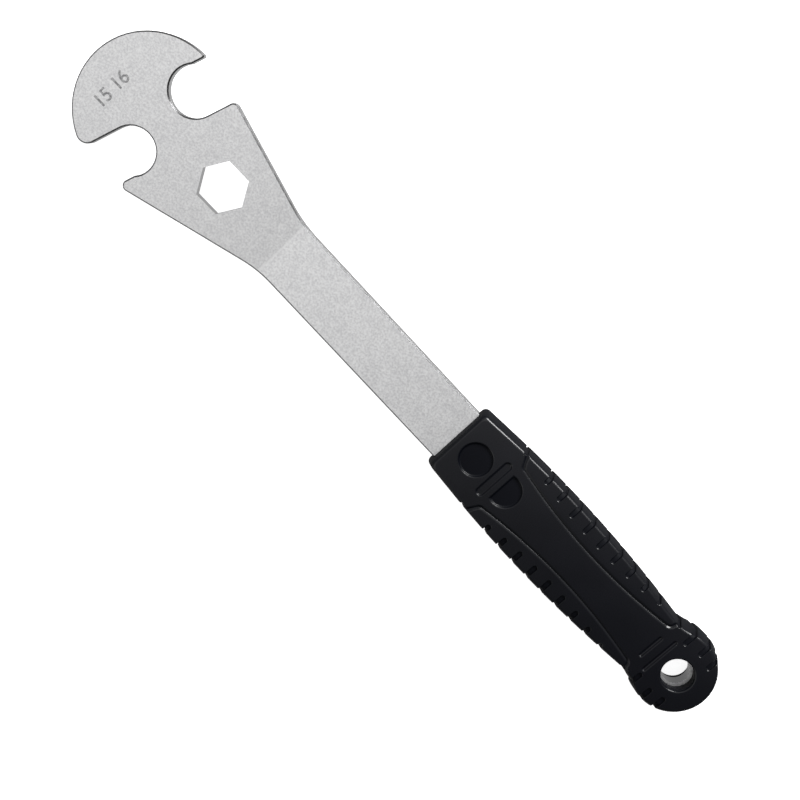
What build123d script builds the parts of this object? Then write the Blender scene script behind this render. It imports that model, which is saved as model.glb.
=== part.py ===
from build123d import *
import os
from math import cos, radians, sin, tan

# A pedal wrench: one stamped steel blade with a moulded handle over its tang.
# X runs along the tool with the head at -X, Y runs to the side that the 16 mm jaw opens to,
# Z is up. While it is built, X is measured from the centre of the hexagonal hole.
# At the end the origin goes to the middle of the length, under the tool.

# Blade plate
plate_thickness = 5.0
plate_edge_roll = 0.5
crown_radius = 25.0
crown_x = -32.3
neck_half_width = 17.7
neck_angle = 15.4
neck_left_x = -31.0
neck_blend_radius = 45.0
shank_front_width = 21.0
shank_rear_width = 20.6

# The head is bent up across the neck
bend_x = 26.8
bend_angle = 5.0
bend_reach = 0.4

# Open jaws, both leaning the same way across the head
jaw_lean = 17.3
wide_jaw = 16.1
wide_jaw_line = -30.0
wide_jaw_floor = 6.25
narrow_jaw = 15.1
narrow_jaw_line = -23.33
narrow_jaw_floor = -20.7
jaw_relief = 0.6
wide_tip_radii = [0.8, 1.8]
narrow_tip_radii = [3.6, 1.9]

# Hexagonal hole in the neck
hex_across_flats = 15.1

# Handle: collar, waisted middle and round boss. Each part starts from the one before it.
handle_front_x = 109.3
collar_length = 19.3
collar_front_width = 26.6
collar_corner_radius = 2.0
belly_from_collar = 24.4
belly_width = 30.6
side_radius = 452.0
boss_from_belly = 61.5
boss_radius = 15.2
waist_radius = 15.0
collar_end_x = handle_front_x + collar_length
belly_x = collar_end_x + belly_from_collar
boss_x = belly_x + boss_from_belly

# Handle section: the sides lean in from the widest line at mid height to a rounded rim
handle_thickness = 14.6
side_lean = 0.9
rim_radius = 1.2
rim_angles = [15, 40, 65, 90]
slot_floor_angles = [15, 90]

# Tang inside the handle
shoulder_depth = 4.4
shoulder_step = 1.3
tang_hole_radius = 4.7
tang_hole_offset = 1.4
shoulder_x = handle_front_x + shoulder_depth
tang_hole_x = boss_x + tang_hole_offset

# Side panels: a groove round each panel and slots that wrap round the side
groove_width = 1.9
groove_depth = 0.65
groove_corner_radius = 2.0
panel_front_x = collar_end_x + 2.8
panel_front_y = 9.5
panel_rear_x = boss_x - 12.0
panel_rear_y = 8.9
panel_waist_x = belly_x + 14.0
panel_waist_y = 6.1
groove_exit_front_x = collar_end_x - 0.4
groove_exit_rear_x = boss_x - 10.4
groove_exit_y = 15.5
rib_count = 9
rib_first_x = collar_end_x + 11.4
rib_pitch = 6.72
rib_width = 1.6
rib_depth = 0.7
rib_gap = 2.3
slot_shift = 1.6
end_slots = [(collar_end_x, 12.9), (boss_x - 10.5, 11.0)]
boss_slots = [(boss_x - 4.7, 8.4), (boss_x + 1.3, 9.5), (boss_x + 6.5, 8.4)]

# Shallow hollows on both faces of the handle
recess_depth = 0.7
recess_slope = 40.0
recess_x = handle_front_x + 9.9
recess_radius = 5.8
bar_x = collar_end_x - 0.8
bar_width = 3.0
bar_length = 15.0
half_round_x = collar_end_x + 4.4
half_round_edge_x = collar_end_x + 2.6
line_depth = 0.5
line_width = 1.4
tail_lines = [(boss_x - 11.3, 9.8), (boss_x - 7.0, 14.8)]

# Hanging hole through the handle
hang_hole_offset = 1.8
hang_hole_radius = 5.5
hang_rim = 0.35
hang_hole_x = boss_x + hang_hole_offset

# Heights, and how close two places are to count as the same
plate_bottom = (handle_thickness - plate_thickness) / 2
plate_top = plate_bottom + plate_thickness
handle_middle = Plane.XY.offset(handle_thickness / 2)
closeness = 0.001


def both_sides(shape, shift=0):
    # The same cut on both sides of the handle, on the far side a shift nearer to the head.
    return shape + Pos(-shift, 0) * mirror(shape, about=Plane.XZ)


def both_faces(shape):
    # The same cut on the upper and the lower face of the handle.
    return shape + mirror(shape, about=handle_middle)


def nearest_vertex(shape, x, y):
    return shape.vertices().sort_by_distance(Vector(x, y, 0))[0]


def edges_at(shape, height):
    # The edges that lie flat at one height.
    found = []
    for edge in shape.edges():
        box = edge.bounding_box()
        if abs(box.min.Z - height) < closeness and abs(box.max.Z - height) < closeness:
            found.append(edge)
    return found


def end_face(shape, x):
    # The flat face that a cut across the tool leaves at x.
    return shape.faces().filter_by_position(Axis.X, x - closeness, x + closeness).filter_by(Plane.YZ)[0]


def rounded_block(plan, depth, angles):
    # A block on a plan that shrinks with its inset. The section starts at the widest line at
    # mid height, leans in, and turns over the rim in facets. The depth moves it all inwards.
    levels = [(depth, handle_thickness / 2)]
    for angle in angles:
        run = rim_radius * (cos(radians(angles[0])) - cos(radians(angle)))
        drop = rim_radius * (1 - sin(radians(angle)))
        levels.append((depth + side_lean + run, handle_thickness - depth - drop))
    bands = []
    for (outer, low), (inner, high) in zip(levels, levels[1:]):
        lower_plan = Plane.XY.offset(low) * plan(outer)
        upper_plan = Plane.XY.offset(high) * plan(inner)
        bands.append(loft([lower_plan, upper_plan], ruled=True))
    return both_faces(Part() + bands)


# Jaws
jaw_across = Vector(cos(radians(jaw_lean)), -sin(radians(jaw_lean)))
jaw_along = Vector(sin(radians(jaw_lean)), cos(radians(jaw_lean)))


def jaw_place(line, along):
    spot = jaw_across * line + jaw_along * along
    return Pos(spot.X, spot.Y) * Rot(0, 0, -jaw_lean)


def jaw_cut(width, line, floor, opens, relief_side):
    # Two flats and a round floor that runs a little past one flat, which frees that corner.
    length = 2 * crown_radius
    flats = Pos(0, opens * length / 2) * Rectangle(width, length)
    end = Pos(relief_side * jaw_relief / 2, 0) * Circle((width + jaw_relief) / 2)
    return jaw_place(line, floor) * (flats + end)


def flat_end(shape, line, opens):
    # The open end of a jaw's flat.
    on_flat = [v for v in shape.vertices() if abs(Vector(v.X, v.Y).dot(jaw_across) - line) < closeness]
    return max(on_flat, key=lambda v: opens * Vector(v.X, v.Y).dot(jaw_along))


wide_cut = jaw_cut(wide_jaw, wide_jaw_line, wide_jaw_floor, 1, -1)
narrow_cut = jaw_cut(narrow_jaw, narrow_jaw_line, narrow_jaw_floor, -1, 1)

# Flat outline of the blade
neck_slope = tan(radians(neck_angle))
neck_end_x = (neck_half_width - shank_front_width / 2) / neck_slope
neck_left_half = neck_half_width - neck_left_x * neck_slope
neck = make_face(Polyline(
    (neck_left_x, -neck_left_half),
    (neck_end_x, -shank_front_width / 2),
    (shoulder_x, -shank_rear_width / 2),
    (shoulder_x, shank_rear_width / 2),
    (neck_end_x, shank_front_width / 2),
    (neck_left_x, neck_left_half),
    close=True,
))
for side in (-1, 1):
    corner = nearest_vertex(neck, neck_end_x, side * shank_front_width / 2)
    neck = fillet(corner, neck_blend_radius)
tang_length = tang_hole_x - shoulder_x
tang_width = shank_rear_width - 2 * shoulder_step
tang = Pos(shoulder_x + tang_length / 2, 0) * Rectangle(tang_length, tang_width)
tang += Pos(tang_hole_x, 0) * Circle(tang_width / 2)
outline = Pos(crown_x, 0) * Circle(crown_radius) + neck + tang
outline -= wide_cut + narrow_cut

# Round tips at the mouth of each jaw, where its flats meet the outline
jaws = [
    (wide_jaw, wide_jaw_line, 1, wide_tip_radii),
    (narrow_jaw, narrow_jaw_line, -1, narrow_tip_radii),
]
for width, line, opens, radii in jaws:
    for side, radius in zip((-1, 1), radii):
        outline = fillet(flat_end(outline, line + side * width / 2, opens), radius)

# Stamped plate with rolled edges as far as the handle, then the clean cut holes
plate = extrude(Plane.XY.offset(plate_bottom) * outline, plate_thickness)
rims = edges_at(plate, plate_bottom) + edges_at(plate, plate_top)
rims = [edge for edge in rims if edge.center().X < shoulder_x - plate_edge_roll]
plate = chamfer(rims, plate_edge_roll)
hex_hole = RegularPolygon(hex_across_flats / 2, 6, major_radius=False, rotation=0)
holes = hex_hole + Pos(tang_hole_x, 0) * Circle(tang_hole_radius)
plate -= extrude(Plane.XY.offset(plate_bottom) * holes, plate_thickness)

# Bend: the head turns up about a line across the neck, with a short flat between
bend_line = Axis((bend_x, 0, plate_top), (0, 1, 0))
head = split(plate, bisect_by=Plane.YZ.offset(bend_x - bend_reach), keep=Keep.BOTTOM)
shank = split(plate, bisect_by=Plane.YZ.offset(bend_x + bend_reach), keep=Keep.TOP)
head_end = end_face(head, bend_x - bend_reach).rotate(bend_line, bend_angle)
shank_end = end_face(shank, bend_x + bend_reach)
head = head.rotate(bend_line, bend_angle)
bend = loft([head_end, shank_end], ruled=True)
blade = head + bend + shank


def side_half(x, inset):
    # Half the width of the handle's middle, bounded by one long arc on each side.
    radius = side_radius - inset
    return belly_width / 2 - inset - radius + (radius ** 2 - (x - belly_x) ** 2) ** 0.5


def middle_plan(inset):
    # The waisted middle and the round boss, seen from above.
    left_half, belly_half, end_half = (side_half(x, inset) for x in (collar_end_x, belly_x, boss_x))
    middle = make_face(
        ThreePointArc((collar_end_x, left_half), (belly_x, belly_half), (boss_x, end_half))
        + Line((boss_x, end_half), (boss_x, -end_half))
        + ThreePointArc((boss_x, -end_half), (belly_x, -belly_half), (collar_end_x, -left_half))
        + Line((collar_end_x, -left_half), (collar_end_x, left_half))
    )
    plan = middle + Pos(boss_x, 0) * Circle(boss_radius - inset)
    waist_x = boss_x - ((boss_radius - inset) ** 2 - end_half ** 2) ** 0.5
    for side in (-1, 1):
        plan = fillet(nearest_vertex(plan, waist_x, side * end_half), waist_radius + inset)
    return plan


def collar_plan(inset):
    # The collar seen from above, as wide as the middle where they join.
    front_x = handle_front_x + inset
    front_half = collar_front_width / 2 - inset
    rear_half = side_half(collar_end_x, inset)
    plan = make_face(Polyline(
        (front_x, -front_half), (collar_end_x, -rear_half),
        (collar_end_x, rear_half), (front_x, front_half), close=True,
    ))
    for side in (-1, 1):
        plan = fillet(nearest_vertex(plan, front_x, side * front_half), collar_corner_radius)
    return plan


def handle_body(depth, angles):
    # Collar, waisted middle and boss as one body. The depth gives the core below the slots.
    return rounded_block(middle_plan, depth, angles) + rounded_block(collar_plan, depth, angles)


def panel_line_y(x):
    # Distance of the panel groove from the middle line.
    rise = (panel_front_y - panel_waist_y) / (panel_front_x - panel_waist_x) ** 2
    return panel_waist_y + rise * (x - panel_waist_x) ** 2


def slot_plan(x, inner_y, width):
    # A slot from outside the handle in to a round inner end.
    length = belly_width - inner_y
    return Pos(x, inner_y + width / 2 + length / 2) * Rectangle(width, length) \
        + Pos(x, inner_y + width / 2) * Circle(width / 2)


handle = handle_body(0, rim_angles)

# Slots that wrap round the sides: one at each rib, one at each end of the panel, more on the boss
slot_places = end_slots + boss_slots
for i in range(rib_count):
    x = rib_first_x + i * rib_pitch
    slot_places.append((x, panel_line_y(x) + rib_gap + groove_width / 2))
slots = Sketch() + [slot_plan(x, inner_y, rib_width) for x, inner_y in slot_places]
slots = extrude(both_sides(slots, slot_shift), handle_thickness)
handle -= slots - handle_body(rib_depth, slot_floor_angles)

# Groove round each side panel
front_corner = (panel_front_x, panel_front_y)
rear_corner = (panel_rear_x, panel_rear_y)
groove_path = Wire([
    Line((groove_exit_front_x, groove_exit_y), front_corner).edge(),
    ThreePointArc(front_corner, (panel_waist_x, panel_waist_y), rear_corner).edge(),
    Line(rear_corner, (groove_exit_rear_x, groove_exit_y)).edge(),
])
corners = [v for v in groove_path.vertices() if v.Y < groove_exit_y - closeness]
groove_path = Pos(0, 0, handle_thickness) * groove_path.fillet_2d(groove_corner_radius, corners)
across = Plane(origin=groove_path @ 0, x_dir=(0, 0, 1), z_dir=groove_path % 0)
groove_slope = groove_depth / (groove_width / 2)
proud = groove_width / 4
vee = make_face(Polyline(
    (-groove_depth, 0),
    (proud, groove_width / 2 + proud / groove_slope),
    (proud, -groove_width / 2 - proud / groove_slope),
    close=True,
))
groove = sweep(across * vee, path=groove_path)
handle -= both_faces(both_sides(groove))

# Shallow hollows: a round one and a bar on the collar, half a round behind them, two fine lines
top = Plane.XY.offset(handle_thickness)
half_round = Pos(half_round_x, 0) * Circle(recess_radius)
half_round -= Pos(half_round_edge_x - recess_radius, 0) * Rectangle(2 * recess_radius, 2 * recess_radius)
round_hollow = Pos(recess_x, 0) * Circle(recess_radius)
cuts = extrude(top * (round_hollow + half_round), -recess_depth, taper=recess_slope)
bars = [(bar_x, bar_length, bar_width)] + [(x, length, line_width) for x, length in tail_lines]
for x, length, width in bars:
    bar = Pos(x, 0) * Rot(0, 0, 90) * SlotOverall(length, width)
    cuts += extrude(top * bar, -line_depth, taper=recess_slope)

# Hanging hole with a slightly broken rim
rim = Cone(hang_hole_radius, hang_hole_radius + hang_rim, hang_rim,
           align=(Align.CENTER, Align.CENTER, Align.MAX))
cuts += Pos(hang_hole_x, 0, handle_thickness) * rim
handle -= both_faces(cuts)
hole = Cylinder(hang_hole_radius, handle_thickness, align=(Align.CENTER, Align.CENTER, Align.MIN))
handle -= Pos(hang_hole_x, 0) * hole

# The handle is moulded tight on the tang
grip = handle - blade

# Origin at the middle of the length, under the tool
middle_x = (blade.bounding_box().min.X + grip.bounding_box().max.X) / 2
os.makedirs("parts", exist_ok=True)
for name, solid in (("blade", blade), ("grip", grip)):
    solid = Pos(-middle_x, 0, 0) * solid
    solid.label = name
    export_step(solid, "parts/" + name + ".step")
length = grip.bounding_box().max.X - blade.bounding_box().min.X
print("length", round(length, 2), "middle", round(middle_x, 3))
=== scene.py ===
# %% [markdown]
# # Pedal wrench
# A pedal wrench is a flat steel bar with two open jaws, a hexagonal hole and a moulded handle.
# The two solid parts come ready made: the blade and the grip. This script gives them their
# surfaces, stamps the two sizes on the head, and lights and frames them like a product photo.
# Everything is in metres. X runs from the head to the hanging hole, Y points to the side that
# the 16 mm jaw opens to, and Z is up.

# %% Load the parts
import bpy
from math import cos, radians, sin
from mathutils import Matrix, Vector


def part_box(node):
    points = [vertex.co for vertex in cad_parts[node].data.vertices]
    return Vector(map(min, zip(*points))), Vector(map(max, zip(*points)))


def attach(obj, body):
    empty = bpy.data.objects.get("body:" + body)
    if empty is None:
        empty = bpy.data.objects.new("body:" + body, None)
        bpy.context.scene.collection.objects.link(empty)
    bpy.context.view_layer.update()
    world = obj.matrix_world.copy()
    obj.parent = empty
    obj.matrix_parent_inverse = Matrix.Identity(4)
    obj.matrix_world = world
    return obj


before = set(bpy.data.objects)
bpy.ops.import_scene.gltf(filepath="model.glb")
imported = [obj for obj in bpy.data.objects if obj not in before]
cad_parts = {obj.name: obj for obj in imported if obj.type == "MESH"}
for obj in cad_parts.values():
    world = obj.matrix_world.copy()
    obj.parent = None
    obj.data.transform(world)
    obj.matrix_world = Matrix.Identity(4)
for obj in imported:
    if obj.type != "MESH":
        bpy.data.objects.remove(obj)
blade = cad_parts["blade"]
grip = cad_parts["grip"]
bpy.context.view_layer.update()
mm = 0.001
head_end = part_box("blade")[0].x
tail_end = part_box("grip")[1].x
print("overall length", round((tail_end - head_end) / mm, 1), "mm")

# %% [markdown]
# Where things are on the tool. The head is bent up by five degrees across the neck, so the
# numbers stamped on it lie in a tilted plane. All places could be typed in one by one. Here
# the crease and the numbers are measured from the centre of the hexagonal hole, as on a
# maker's drawing, and the handle's places are read from the solids, so they always fit them.

# %% Places on the tool
hexagon_to_tail = 229.7 * mm
hexagon_to_crease = 26.8 * mm
hexagon_x = tail_end - hexagon_to_tail
crease_x = hexagon_x + hexagon_to_crease
handle_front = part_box("grip")[0].x
grip_middle_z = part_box("grip")[1].z / 2
plate_top = 9.8 * mm
bend_angle = radians(5)
head_plane = Matrix.Translation((crease_x, 0, plate_top)) @ Matrix.Rotation(bend_angle, 4, "Y")
print("crease at", round(crease_x / mm, 2), "mm, handle from", round(handle_front / mm, 2), "mm")

# %% [markdown]
# A surface could be painted node by node, but long chains of Math nodes are hard to read. Here
# a `Value` stands for what comes out of a node. Adding, multiplying or dividing values adds
# the matching Math node, so a mask reads like a formula.

# %% Shader maths
class Value:
    """What comes out of one socket of a node."""

    def __init__(self, graph, socket):
        self.graph = graph
        self.socket = socket

    def math(self, operation, *inputs):
        return self.graph.add("ShaderNodeMath", {"operation": operation}, *inputs)

    def __add__(self, other):
        return self.math("ADD", self, other)

    def __radd__(self, other):
        return self.math("ADD", other, self)

    def __sub__(self, other):
        return self.math("SUBTRACT", self, other)

    def __rsub__(self, other):
        return self.math("SUBTRACT", other, self)

    def __mul__(self, other):
        return self.math("MULTIPLY", self, other)

    def __rmul__(self, other):
        return self.math("MULTIPLY", other, self)

    def __truediv__(self, other):
        return self.math("DIVIDE", self, other)

    def __abs__(self):
        return self.math("ABSOLUTE", self)

    def ramp(self, low, high):
        """0 below low, 1 above high, and a smooth rise between them."""
        settings = {"interpolation_type": "SMOOTHSTEP", "clamp": True}
        limits = {"From Min": low, "From Max": high}
        return self.graph.add("ShaderNodeMapRange", settings, Value=self, **limits)


print("a value has operators, and", [name for name in vars(Value) if not name.startswith("_")])

# %% [markdown]
# A `Graph` is one tree of nodes, and its `add` method makes any node: its settings go in
# first, then the numbers, colours or links of its sockets. A `Surface` is the graph of a
# material or of the world, with short names for the nodes that come back often. The Mix node
# has one set of sockets for each type of data, so its colour sockets are reached by number.

# %% Node graphs
mix_colour_inputs = (6, 7)
mix_colour_output = 2


class Graph:
    """A tree of nodes."""

    def __init__(self, tree):
        self.tree = tree

    def plug(self, socket, value):
        """Link a value to a socket, or write a number or a colour into it."""
        if isinstance(value, Value):
            self.tree.links.new(value.socket, socket)
        elif socket.type == "RGBA":
            socket.default_value = (*value, 1)
        else:
            socket.default_value = value

    def add(self, kind, settings=None, *inputs, output=0, **named):
        node = self.tree.nodes.new(kind)
        for key, value in (settings or {}).items():
            setattr(node, key, value)
        for key, value in list(enumerate(inputs)) + list(named.items()):
            self.plug(node.inputs[key], value)
        return Value(self, node.outputs[output]) if node.outputs else None


class Surface(Graph):
    """The nodes of one material, or of the world."""

    def __init__(self, owner):
        owner.use_nodes = True
        super().__init__(owner.node_tree)
        self.owner = owner
        self.tree.nodes.clear()

    def parts(self, vector):
        """The X, Y and Z of a vector, as values."""
        split = self.add("ShaderNodeSeparateXYZ", None, vector).socket.node
        return [Value(self, socket) for socket in split.outputs]

    def noise(self, where, scale, **more):
        return self.add("ShaderNodeTexNoise", None, output="Fac", Vector=where, Scale=scale, **more)

    def mix(self, factor, low, high):
        """A colour between two colours."""
        settings = {"data_type": "RGBA"}
        made = self.add("ShaderNodeMix", settings, factor, output=mix_colour_output)
        for key, colour in zip(mix_colour_inputs, (low, high)):
            self.plug(made.socket.node.inputs[key], colour)
        return made

    def ray(self, kind):
        """1 for rays of this kind, 0 for all others."""
        return self.add("ShaderNodeLightPath", output=kind)

    def bump(self, height, depth, **more):
        """A normal tilted by a height. A height of 1 stands for this depth in metres."""
        return self.add("ShaderNodeBump", None, Height=height, Strength=1.0, Distance=depth, **more)

    def finish(self, shader, target="Material"):
        self.add("ShaderNodeOutput" + target, None, Surface=shader)
        return self.owner


def new_material(name):
    return Surface(bpy.data.materials.new(name))


print("a surface has", [name for name in vars(Surface) if not name.startswith("_")])

# %% [markdown]
# The blade is stamped from 5 mm steel, tumbled and plated. The plating leaves a fine, slightly
# sparkling grain with no brushing direction, so the surface reads as an even silvery grey. One
# flat metal colour would look too clean, and a picture laid on from above would smear down the
# cut edges. So two sizes of noise give the grain, one for the crystals and one for soft
# cloudiness. The die burnishes the cut edges, so the walls are smoother. A painted dark line
# along the outline stands for shade on the cut rims, and the bore of the hanging hole is
# painted darker as shade. A thin painted highlight runs across the neck where the press folded
# it, in place of the light that the bend catches.

# %% Steel surface
grain_scale = 1500
cloud_scale = 260
grain_share = 0.85
grain_contrast = (0.3, 0.7)
grain_depth = 0.014 * mm
# half width and strength of the painted highlight along the crease
crease_highlight_reach = (0.15 * mm, 0.6 * mm)
crease_highlight_strength = 0.6
face_slope = (0.9, 0.98)
rim_slope = (0.1, 0.3)
bore_start = tail_end - 33.5 * mm
bore_fade = 2 * mm
dull_grain = (0.66, 0.66, 0.67)
bright_grain = (0.90, 0.90, 0.90)
# colour of the painted highlight along the crease
painted_crease_highlight = (0.90, 0.90, 0.90)
# colour of the painted shade on the rims and in the bore of the hanging hole
painted_edge_shade = (0.30, 0.30, 0.305)
face_roughness = 0.38
cloud_roughness = 0.10
edge_burnish = 0.24


def plated_steel():
    steel = new_material("plated_steel")
    where = steel.add("ShaderNodeTexCoord", output="Object")
    along = steel.parts(where)[0]
    flatness = abs(steel.parts(steel.add("ShaderNodeNewGeometry", output="True Normal"))[2])
    grain = steel.noise(where, grain_scale, Detail=3.0, Roughness=0.6)
    clouds = steel.noise(where, cloud_scale)
    # painted highlight: a thin band along the crease is mixed lighter
    crease_highlight = 1 - abs(along - crease_x).ramp(*crease_highlight_reach)
    cut_edge = 1 - flatness.ramp(*face_slope)
    # painted shade: the narrow rim facets along the outline are darkened
    painted_rim_shade = cut_edge * flatness.ramp(*rim_slope)
    # painted shade: the cut walls inside the grip, seen through the hanging hole, are darkened
    painted_bore_shade = cut_edge * along.ramp(bore_start, bore_start + bore_fade) * (1 - painted_rim_shade)
    tone = grain * grain_share + clouds * (1 - grain_share)
    colour = steel.mix(tone.ramp(*grain_contrast), dull_grain, bright_grain)
    # lighten with the painted highlight of the crease
    colour = steel.mix(crease_highlight * crease_highlight_strength, colour, painted_crease_highlight)
    # darken with the painted shade of the rims and the bore
    colour = steel.mix(painted_rim_shade + painted_bore_shade, colour, painted_edge_shade)
    roughness = face_roughness + cloud_roughness * clouds - edge_burnish * cut_edge
    return steel.finish(steel.add("ShaderNodeBsdfPrincipled", None, **{
        "Base Color": colour, "Metallic": 1.0, "Roughness": roughness,
        "Normal": steel.bump(grain, grain_depth),
    }))


blade.material_slots[0].material = plated_steel()
print("steel nodes", len(blade.material_slots[0].material.node_tree.nodes))

# %% [markdown]
# The grip is injection moulded in black plastic. Its broad faces are slightly crowned, as
# the mould maker leaves them, so they catch a little more light towards one side. The mould
# is polished only where it forms the handle's highest faces, and there the lights show as
# soft stripes on the rounded rims. The flanks and all that is sunk keep the matt spark-eroded
# texture. One black of middling gloss would lose that contrast, and two materials would need
# the mesh cut up, so a mask made from height and slope mixes a matt and a smooth plastic.

# %% Plastic surface
texture_scale = 1800
texture_depth = 0.006 * mm
patch_scale = 90
crown_half_width = 14 * mm
crown_rise = 0.9 * mm
polished_slope = (0.15, 0.45)
sunk_depth = (0.50 * mm, 0.64 * mm)
deep_black = (0.0010, 0.0013, 0.0028)
soft_black = (0.0018, 0.0022, 0.0044)
matt_roughness = 0.6
smooth_roughness = 0.22
patchy_roughness = 0.06
matt_specular = 0.10
smooth_specular = 0.36


def moulded_plastic():
    plastic = new_material("moulded_plastic")
    where = plastic.add("ShaderNodeTexCoord", output="Object")
    across, height = plastic.parts(where)[1:]
    flatness = abs(plastic.parts(plastic.add("ShaderNodeNewGeometry", output="True Normal"))[2])
    texture = plastic.noise(where, texture_scale)
    patches = plastic.noise(where, patch_scale)
    below_top = grip_middle_z - abs(height - grip_middle_z)
    polished = flatness.ramp(*polished_slope) * (1 - below_top.ramp(*sunk_depth))
    crown = 1 - across * across / crown_half_width ** 2
    colour = plastic.mix(patches, deep_black, soft_black)
    normal = plastic.bump(texture, texture_depth, Normal=plastic.bump(crown, crown_rise))
    patchy = smooth_roughness + patchy_roughness * patches
    finishes = [(matt_roughness, matt_specular), (patchy, smooth_specular)]
    matt, smooth = [plastic.add("ShaderNodeBsdfPrincipled", None, **{
        "Base Color": colour, "Roughness": roughness, "Specular IOR Level": level, "Normal": normal,
    }) for roughness, level in finishes]
    return plastic.finish(plastic.add("ShaderNodeMixShader", None, polished, matt, smooth))


grip.material_slots[0].material = moulded_plastic()
print("plastic nodes", len(grip.material_slots[0].material.node_tree.nodes))

# %% [markdown]
# The rims of both parts are cut as small facets, which keeps the solids light. A real rim is
# round. A rounded solid would need many more faces, so modifiers do this work and the mesh
# stays as it is. The first drops the stored shading, joins a part's faces and shades them
# smooth, but keeps every edge sharper than a set angle. The last leans the shading on the
# large faces, so that flats stay flat and only the narrow facets turn the light.

# %% Smooth the rims
join_distance = 0.001 * mm
blade_sharp_angle = radians(30)
grip_sharp_angle = radians(40)


class Shaping(Graph):
    """The nodes of a geometry modifier on one part."""

    def __init__(self, part, name):
        group = bpy.data.node_groups.new(name + " " + part.name, "GeometryNodeTree")
        super().__init__(group)
        for way in ("INPUT", "OUTPUT"):
            group.interface.new_socket("Geometry", in_out=way, socket_type="NodeSocketGeometry")
        part.modifiers.new(name, "NODES").node_group = group
        self.shape = self.add("NodeGroupInput")

    def step(self, kind, settings=None, **named):
        self.shape = self.add(kind, settings, self.shape, **named)

    def finish(self):
        self.add("NodeGroupOutput", None, self.shape)


def smooth_rims(part, sharp_angle):
    rims = Shaping(part, "join and smooth")
    rims.step("GeometryNodeRemoveAttribute", Name="custom_normal")
    rims.step("GeometryNodeMergeByDistance", Distance=join_distance)
    rims.step("GeometryNodeSetShadeSmooth", {"domain": "FACE"}, **{"Shade Smooth": True})
    angle = rims.add("GeometryNodeInputMeshEdgeAngle", output="Unsigned Angle")
    sharp = angle.math("GREATER_THAN", angle, sharp_angle)
    to_sharpen = {"Selection": sharp, "Shade Smooth": False}
    rims.step("GeometryNodeSetShadeSmooth", {"domain": "EDGE"}, **to_sharpen)
    rims.finish()


def keep_flats(part):
    weighted = part.modifiers.new("flats stay flat", "WEIGHTED_NORMAL")
    weighted.mode = "FACE_AREA"
    weighted.weight = 80
    weighted.keep_sharp = True


smooth_rims(blade, blade_sharp_angle)
keep_flats(blade)
print("blade", [modifier.name for modifier in blade.modifiers])

# %% [markdown]
# The grip gets three more modifiers between those two. A moulded part has no sharp edges,
# because melted plastic can't fill a sharp corner and the steel of the mould would chip. The
# solid could carry these small fillets, but it would be far heavier. So the triangles of each
# flat are first put together again, and then every sharp edge is rounded by 0.2 mm. Where many
# edges meet, a rounded corner could stand out a little, so the third keeps every point within
# the height, width and length of the solid.

# %% Round the moulded edges
moulded_radius = 0.2 * mm
flat_tolerance = radians(0.3)
corner_angle = radians(38)


def round_moulded_edges(part):
    flats = part.modifiers.new("whole flats", "DECIMATE")
    flats.decimate_type = "DISSOLVE"
    flats.angle_limit = flat_tolerance
    edges = part.modifiers.new("soft edges", "BEVEL")
    edges.width = moulded_radius
    edges.segments = 2
    edges.limit_method = "ANGLE"
    edges.angle_limit = corner_angle
    edges.use_clamp_overlap = False


def stay_in_mould(part):
    mould = Shaping(part, "stay in the mould")
    spot = mould.add("GeometryNodeInputPosition")
    for operation, corner in zip(("MAXIMUM", "MINIMUM"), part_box(part.name)):
        spot = mould.add("ShaderNodeVectorMath", {"operation": operation}, spot, corner)
    mould.step("GeometryNodeSetPosition", Position=spot)
    mould.finish()


smooth_rims(grip, grip_sharp_angle)
round_moulded_edges(grip)
stay_in_mould(grip)
keep_flats(grip)
print("grip", [modifier.name for modifier in grip.modifiers])

# %% [markdown]
# The head carries the two jaw sizes, 15 and 16, stamped after the plate is cut. A stamp leaves
# dark, slightly broken strokes. They could be cut into the plate, but cuts this shallow would
# hardly show, and a painted mask would need a picture of the digits. So each number is a thin
# text piece laid in the head's own plane: its lines read across the tool, with their feet
# towards the handle. A digit is about 0.73 of the font's size high.

# %% Stamped numbers
mark_height = 4.6 * mm
digit_share = 0.73
mark_thickness = 0.02 * mm
stroke_widening = 0.06 * mm
mark_foot_x = hexagon_x - 43.7 * mm
marks = {"15": -10.6 * mm, "16": -2.8 * mm}
wear_contrast = (0.35, 0.7)
worn_stroke = (0.24, 0.24, 0.245)
shiny_stroke = (0.55, 0.55, 0.555)


def stamp_surface():
    stamp = new_material("stamped_mark")
    where = stamp.add("ShaderNodeTexCoord", output="Object")
    wear = stamp.noise(where, grain_scale)
    colour = stamp.mix(wear.ramp(*wear_contrast), worn_stroke, shiny_stroke)
    return stamp.finish(stamp.add("ShaderNodeBsdfPrincipled", None, **{
        "Base Color": colour, "Metallic": 0.9, "Roughness": 0.5 + 0.2 * wear,
    }))


mark_material = stamp_surface()
across_tool = Matrix.Rotation(radians(90), 4, "Z")
for text, start_y in marks.items():
    curve = bpy.data.curves.new("size_" + text, "FONT")
    curve.body = text
    curve.size = mark_height / digit_share
    curve.extrude = mark_thickness
    curve.offset = stroke_widening
    curve.space_character = 0.95
    curve.materials.append(mark_material)
    mark = bpy.data.objects.new("size_" + text, curve)
    bpy.context.scene.collection.objects.link(mark)
    place = Matrix.Translation((mark_foot_x - crease_x, start_y, 0)) @ across_tool
    mark.matrix_world = head_plane @ place
    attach(mark, "root")
print("stamped", list(marks))

# %% [markdown]
# The tool lies on a pale table. More light on the table would also wash out the tool, so the
# table glows by itself, but only towards the camera and, more weakly, in what the tool
# mirrors. The camera sees it as almost pure white, as a product photo shows it, but a little
# of the tool's own shadow stays. The edges of the steel mirror a clearly greyer table, so that
# they still stand out against the white.

# %% Table
table_size = 6
table_white = (0.9, 0.9, 0.9)
table_in_mirror = (0.1, 0.1, 0.1)
table_glow = 0.85
mirrored_glow = 0.4


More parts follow.
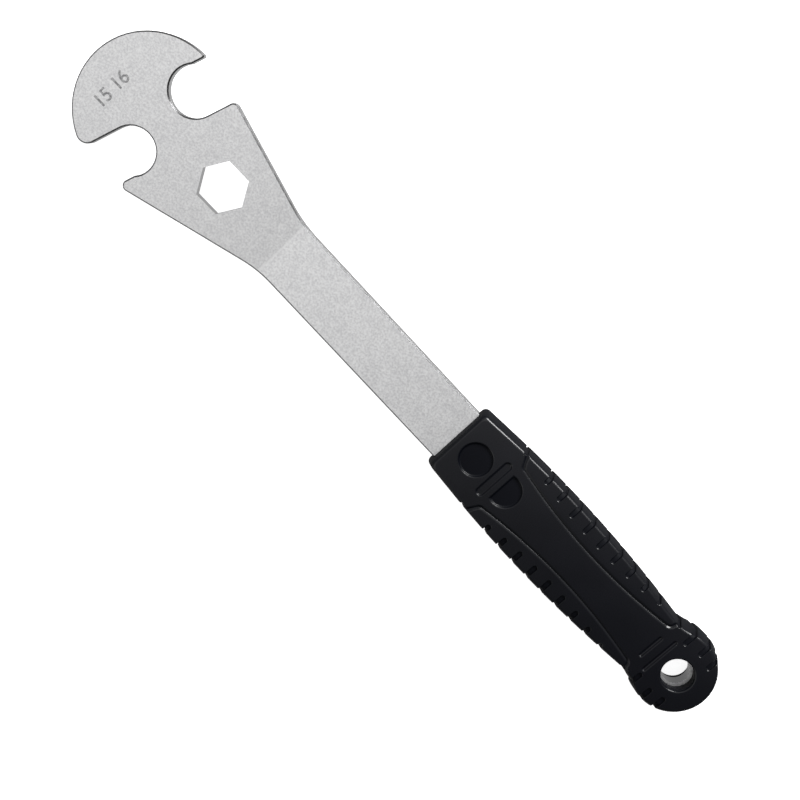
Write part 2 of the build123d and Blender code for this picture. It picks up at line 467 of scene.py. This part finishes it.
def table_surface():
    pale = new_material("pale_table")
    seen = pale.ray("Is Camera Ray")
    mirrored = pale.ray("Is Glossy Ray") + pale.ray("Is Transmission Ray")
    colour = pale.mix(mirrored, table_white, table_in_mirror)
    glow = pale.mix(seen + mirrored * mirrored_glow, (0, 0, 0), (1, 1, 1))
    return pale.finish(pale.add("ShaderNodeBsdfPrincipled", None, **{
        "Base Color": colour, "Roughness": 0.9, "Specular IOR Level": 0.0,
        "Emission Color": glow, "Emission Strength": table_glow,
    }))


bpy.ops.mesh.primitive_plane_add(size=table_size, location=(0, 0, 0))
table = bpy.context.object
table.name = "table"
table.data.materials.append(table_surface())
print("table", table_size, "m wide")

# %% [markdown]
# A soft panel stands low on the side that the 16 mm jaw opens to, and draws the stripe along
# the handle's rim. A bare lamp would draw a hard line there. So the panel is nearly half a
# metre wide, and it is turned to face the tool.

# %% Side panel
panel_spot = Vector((-0.04, 0.93, 0.48))
panel_size = (0.46, 0.42)
panel_power = 18


def panel_light(name, spot, size, power):
    light = bpy.data.lights.new(name, "AREA")
    light.shape = "RECTANGLE"
    light.size, light.size_y = size
    light.energy = power
    lamp = bpy.data.objects.new(name, light)
    lamp.location = spot
    lamp.rotation_euler = (-spot).to_track_quat("-Z", "Y").to_euler()
    bpy.context.scene.collection.objects.link(lamp)


panel_light("side_panel", panel_spot, panel_size, panel_power)
print("side panel", round(panel_spot.length, 2), "m from the tool")

# %% [markdown]
# The rest of the light is a tent around the tool. A few lamps would show as hard spots in the
# metal, so the whole sky of the tent is one smooth gradient. It is brightest halfway up on the
# panel's side, and it fades towards both ends of the tool and to the horizon. So the flat
# steel has an even tone with a gentle fall towards the handle. The camera itself sees the
# tent as plain white.

# %% Light tent
bright_way = Vector((0, 0.70, 0.71))
bright_reach = (0.5, 1.0)
bright_gain = 0.34
sky_level = 1.045
tail_reach = (-0.10, 0.24)
tail_fall = 0.91
head_reach = (0.15, 0.5)
head_fall = 0.66
horizon_reach = (0.0, 0.55)
horizon_level = 0.35


def tent_world():
    tent = Surface(bpy.data.worlds.new("light_tent"))
    x, y, z = tent.parts(tent.add("ShaderNodeTexCoord", output="Generated"))
    bright_side = (y * bright_way.y + z * bright_way.z).ramp(*bright_reach)
    level = sky_level - tail_fall * x.ramp(*tail_reach) - head_fall * (0 - x).ramp(*head_reach)
    level = level + bright_gain * bright_side
    level = level * (horizon_level + (1 - horizon_level) * z.ramp(*horizon_reach))
    seen = tent.ray("Is Camera Ray")
    strength = level + seen * (1 - level)
    return tent.finish(tent.add("ShaderNodeBackground", None, (1, 1, 1), strength), "World")


bpy.context.scene.world = tent_world()
bpy.context.scene.view_settings.view_transform = "Standard"
print("tent nodes", len(bpy.context.scene.world.node_tree.nodes))

# %% [markdown]
# The photograph was taken from about 40 cm above the table with a short telephoto lens, a
# little to the side of the 16 mm jaw, and turned so that the tool lies on the diagonal. A
# camera could be turned by three angles, but a place, a point to look at and a way up on the
# table are easier to check against the picture. Blender takes the film's width and the focal
# length in millimetres.

# %% Camera
camera_spot = Vector((-20.36, 66.76, 412.11)) * mm
camera_aim = Vector((3.0, -7.26, 0)) * mm
up_heading = radians(136.69)
film_width = 36
focal_length = 56.56
view = bpy.data.cameras.new("camera")
view.sensor_width = film_width
view.lens = focal_length
camera = bpy.data.objects.new("camera", view)
back = (camera_spot - camera_aim).normalized()
right = Vector((cos(up_heading), sin(up_heading), 0)).cross(back).normalized()
up = back.cross(right)
turn = Matrix((right, up, back)).transposed().to_4x4()
camera.matrix_world = Matrix.Translation(camera_spot) @ turn
bpy.context.scene.collection.objects.link(camera)
bpy.context.scene.camera = camera
print("camera at", [round(v, 3) for v in camera_spot])
print("looking along", [round(-v, 4) for v in back])

# %% [markdown]
# The last cell brings the scene up to date.

# %% Update the scene
bpy.context.view_layer.update()
